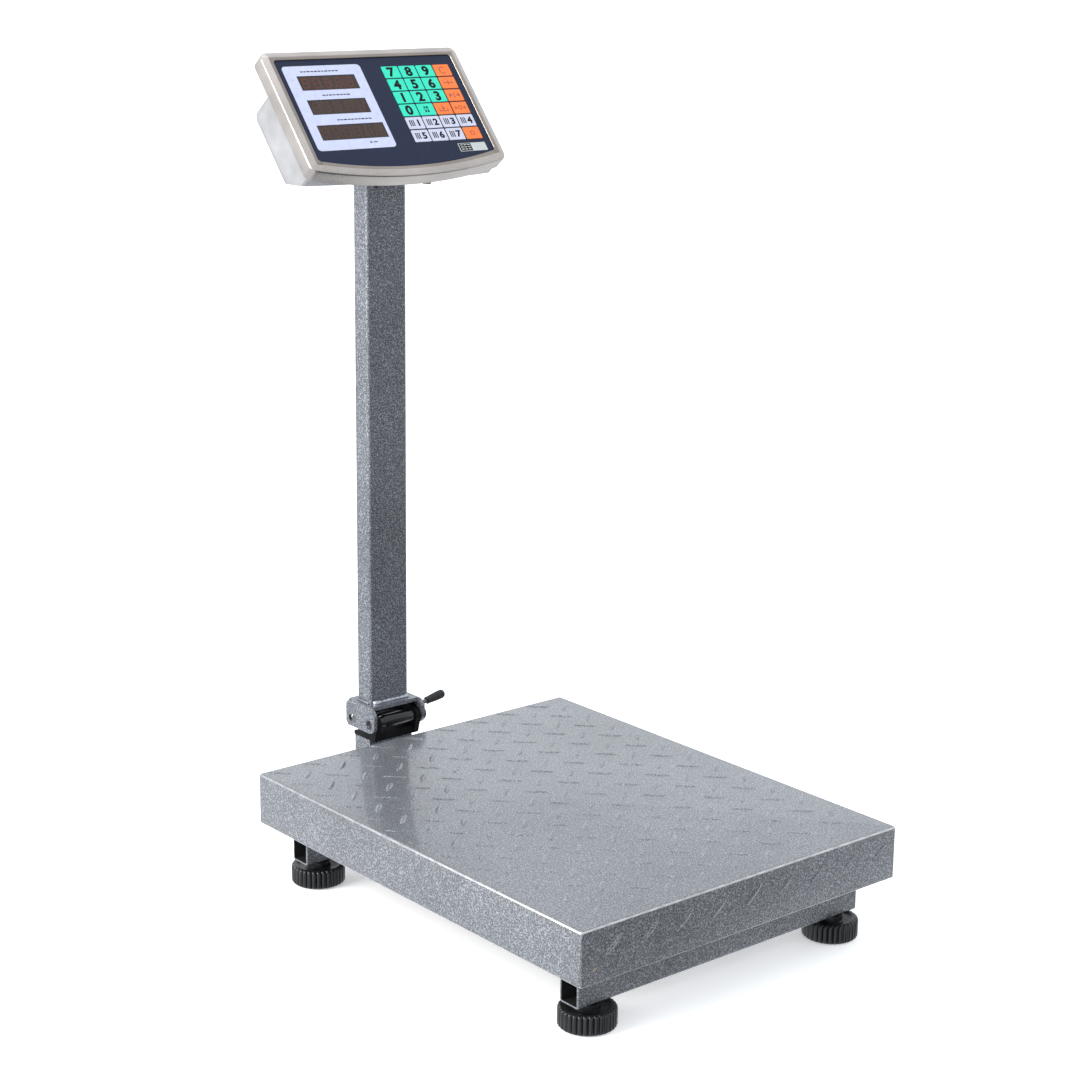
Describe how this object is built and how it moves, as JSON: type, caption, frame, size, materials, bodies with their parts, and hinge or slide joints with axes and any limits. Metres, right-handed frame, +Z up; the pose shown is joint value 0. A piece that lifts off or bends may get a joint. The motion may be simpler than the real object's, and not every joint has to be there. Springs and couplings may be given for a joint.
{
  "type": "folding platform scale",
  "caption": "Platform shipping scale: tread-plate platform on levelling feet, fold-down column, and a tilted price-computing indicator with displays and keys.",
  "frame": {"origin": "on the floor under the centre of the scale's overall box", "axes": "+X to the operator's right, +Y away from the operator towards the column, +Z up"},
  "size_m": [0.4, 0.6145, 0.8229],
  "materials": {
    "hammertone": "hammertone enamel",
    "frame_paint": "satin primer",
    "black_enamel": "gloss black",
    "steel": "zinc plated",
    "stainless": "brushed",
    "aluminium": "machined",
    "black_plastic": "moulded",
    "rubber": "matt",
    "overlay": "fine texture film",
    "key_teal": "film key",
    "key_orange": "film key",
    "key_lavender": "film key",
    "window": "smoked",
    "led": "unlit segment display",
    "pcb": "solder mask",
    "battery": "moulded case"
  },
  "bodies": {
    "base": {"platform_cover": "hammertone", "cover_pads": "rubber", "load_frame": "frame_paint", "load_cell": "aluminium", "cell_spacers": "steel", "cell_bolts": "steel", "base_front_tube": "hammertone", "base_rear_tube": "hammertone", "base_spine": "hammertone", "post_tube": "hammertone", "foot_nuts": "steel", "hinge_casting": "black_enamel", "casting_bolts": "steel", "lock_hook": "black_enamel", "hinge_pin": "steel", "hinge_sleeve": "black_enamel"},
    "column": {"hinge_bracket": "hammertone", "column_tube": "hammertone", "head_plate": "hammertone", "head_plate_screws": "steel", "rear_shell": "stainless", "bezel": "stainless", "overlay": "overlay", "display_windows": "window", "led_modules": "led", "main_board": "pcb", "battery": "battery", "cable_gland": "black_plastic", "charge_socket": "black_plastic", "case_screws": "steel"},
    "lock": {"lock_rod": "steel", "lock_grip": "rubber"},
    "foot_front_left": {"foot_front_left": "black_plastic"},
    "foot_front_right": {"foot_front_right": "black_plastic"},
    "foot_rear_left": {"foot_rear_left": "black_plastic"},
    "foot_rear_right": {"foot_rear_right": "black_plastic"},
    "key_r1_c1": {"key_r1_c1": "key_teal"},
    "key_r1_c2": {"key_r1_c2": "key_teal"},
    "key_r1_c3": {"key_r1_c3": "key_teal"},
    "key_r1_c4": {"key_r1_c4": "key_orange"},
    "key_r2_c1": {"key_r2_c1": "key_teal"},
    "key_r2_c2": {"key_r2_c2": "key_teal"},
    "key_r2_c3": {"key_r2_c3": "key_teal"},
    "key_r2_c4": {"key_r2_c4": "key_orange"},
    "key_r3_c1": {"key_r3_c1": "key_teal"},
    "key_r3_c2": {"key_r3_c2": "key_teal"},
    "key_r3_c3": {"key_r3_c3": "key_teal"},
    "key_r3_c4": {"key_r3_c4": "key_orange"},
    "key_r4_c1": {"key_r4_c1": "key_teal"},
    "key_r4_c2": {"key_r4_c2": "key_teal"},
    "key_r4_c3": {"key_r4_c3": "key_orange"},
    "key_r4_c4": {"key_r4_c4": "key_orange"},
    "key_r5_c1": {"key_r5_c1": "key_lavender"},
    "key_r5_c2": {"key_r5_c2": "key_lavender"},
    "key_r5_c3": {"key_r5_c3": "key_lavender"},
    "key_r5_c4": {"key_r5_c4": "key_lavender"},
    "key_r6_c1": {"key_r6_c1": "key_lavender"},
    "key_r6_c2": {"key_r6_c2": "key_lavender"},
    "key_r6_c3": {"key_r6_c3": "key_lavender"},
    "key_r6_c4": {"key_r6_c4": "key_orange"}
  },
  "joints": [
    {"name": "column_fold", "type": "hinge", "parent": "base", "child": "column", "pos_m": [0, 0.23215, 0.1195], "axis": [1, 0, 0], "range_deg": [0, 90]},
    {"name": "lock_slide", "type": "slide", "parent": "column", "child": "lock", "axis": [0, 1, 0], "range_m": [0, 0.005]},
    {"name": "foot_front_left_turn", "type": "hinge", "parent": "base", "child": "foot_front_left", "pos_m": [-0.156, -0.26675, 0], "axis": [0, 0, 1], "continuous": true},
    {"name": "foot_front_right_turn", "type": "hinge", "parent": "base", "child": "foot_front_right", "pos_m": [0.156, -0.26675, 0], "axis": [0, 0, 1], "continuous": true},
    {"name": "foot_rear_left_turn", "type": "hinge", "parent": "base", "child": "foot_rear_left", "pos_m": [-0.156, 0.15225, 0], "axis": [0, 0, 1], "continuous": true},
    {"name": "foot_rear_right_turn", "type": "hinge", "parent": "base", "child": "foot_rear_right", "pos_m": [0.156, 0.15225, 0], "axis": [0, 0, 1], "continuous": true},
    {"name": "key_r1_c1_press", "type": "slide", "parent": "column", "child": "key_r1_c1", "axis": [0, 0.766, -0.6428], "range_m": [0, 0.0004], "stiffness_N_per_m": 500},
    {"name": "key_r1_c2_press", "type": "slide", "parent": "column", "child": "key_r1_c2", "axis": [0, 0.766, -0.6428], "range_m": [0, 0.0004], "stiffness_N_per_m": 500},
    {"name": "key_r1_c3_press", "type": "slide", "parent": "column", "child": "key_r1_c3", "axis": [0, 0.766, -0.6428], "range_m": [0, 0.0004], "stiffness_N_per_m": 500},
    {"name": "key_r1_c4_press", "type": "slide", "parent": "column", "child": "key_r1_c4", "axis": [0, 0.766, -0.6428], "range_m": [0, 0.0004], "stiffness_N_per_m": 500},
    {"name": "key_r2_c1_press", "type": "slide", "parent": "column", "child": "key_r2_c1", "axis": [0, 0.766, -0.6428], "range_m": [0, 0.0004], "stiffness_N_per_m": 500},
    {"name": "key_r2_c2_press", "type": "slide", "parent": "column", "child": "key_r2_c2", "axis": [0, 0.766, -0.6428], "range_m": [0, 0.0004], "stiffness_N_per_m": 500},
    {"name": "key_r2_c3_press", "type": "slide", "parent": "column", "child": "key_r2_c3", "axis": [0, 0.766, -0.6428], "range_m": [0, 0.0004], "stiffness_N_per_m": 500},
    {"name": "key_r2_c4_press", "type": "slide", "parent": "column", "child": "key_r2_c4", "axis": [0, 0.766, -0.6428], "range_m": [0, 0.0004], "stiffness_N_per_m": 500},
    {"name": "key_r3_c1_press", "type": "slide", "parent": "column", "child": "key_r3_c1", "axis": [0, 0.766, -0.6428], "range_m": [0, 0.0004], "stiffness_N_per_m": 500},
    {"name": "key_r3_c2_press", "type": "slide", "parent": "column", "child": "key_r3_c2", "axis": [0, 0.766, -0.6428], "range_m": [0, 0.0004], "stiffness_N_per_m": 500},
    {"name": "key_r3_c3_press", "type": "slide", "parent": "column", "child": "key_r3_c3", "axis": [0, 0.766, -0.6428], "range_m": [0, 0.0004], "stiffness_N_per_m": 500},
    {"name": "key_r3_c4_press", "type": "slide", "parent": "column", "child": "key_r3_c4", "axis": [0, 0.766, -0.6428], "range_m": [0, 0.0004], "stiffness_N_per_m": 500},
    {"name": "key_r4_c1_press", "type": "slide", "parent": "column", "child": "key_r4_c1", "axis": [0, 0.766, -0.6428], "range_m": [0, 0.0004], "stiffness_N_per_m": 500},
    {"name": "key_r4_c2_press", "type": "slide", "parent": "column", "child": "key_r4_c2", "axis": [0, 0.766, -0.6428], "range_m": [0, 0.0004], "stiffness_N_per_m": 500},
    {"name": "key_r4_c3_press", "type": "slide", "parent": "column", "child": "key_r4_c3", "axis": [0, 0.766, -0.6428], "range_m": [0, 0.0004], "stiffness_N_per_m": 500},
    {"name": "key_r4_c4_press", "type": "slide", "parent": "column", "child": "key_r4_c4", "axis": [0, 0.766, -0.6428], "range_m": [0, 0.0004], "stiffness_N_per_m": 500},
    {"name": "key_r5_c1_press", "type": "slide", "parent": "column", "child": "key_r5_c1", "axis": [0, 0.766, -0.6428], "range_m": [0, 0.0004], "stiffness_N_per_m": 500},
    {"name": "key_r5_c2_press", "type": "slide", "parent": "column", "child": "key_r5_c2", "axis": [0, 0.766, -0.6428], "range_m": [0, 0.0004], "stiffness_N_per_m": 500},
    {"name": "key_r5_c3_press", "type": "slide", "parent": "column", "child": "key_r5_c3", "axis": [0, 0.766, -0.6428], "range_m": [0, 0.0004], "stiffness_N_per_m": 500},
    {"name": "key_r5_c4_press", "type": "slide", "parent": "column", "child": "key_r5_c4", "axis": [0, 0.766, -0.6428], "range_m": [0, 0.0004], "stiffness_N_per_m": 500},
    {"name": "key_r6_c1_press", "type": "slide", "parent": "column", "child": "key_r6_c1", "axis": [0, 0.766, -0.6428], "range_m": [0, 0.0004], "stiffness_N_per_m": 500},
    {"name": "key_r6_c2_press", "type": "slide", "parent": "column", "child": "key_r6_c2", "axis": [0, 0.766, -0.6428], "range_m": [0, 0.0004], "stiffness_N_per_m": 500},
    {"name": "key_r6_c3_press", "type": "slide", "parent": "column", "child": "key_r6_c3", "axis": [0, 0.766, -0.6428], "range_m": [0, 0.0004], "stiffness_N_per_m": 500},
    {"name": "key_r6_c4_press", "type": "slide", "parent": "column", "child": "key_r6_c4", "axis": [0, 0.766, -0.6428], "range_m": [0, 0.0004], "stiffness_N_per_m": 500}
  ]
}
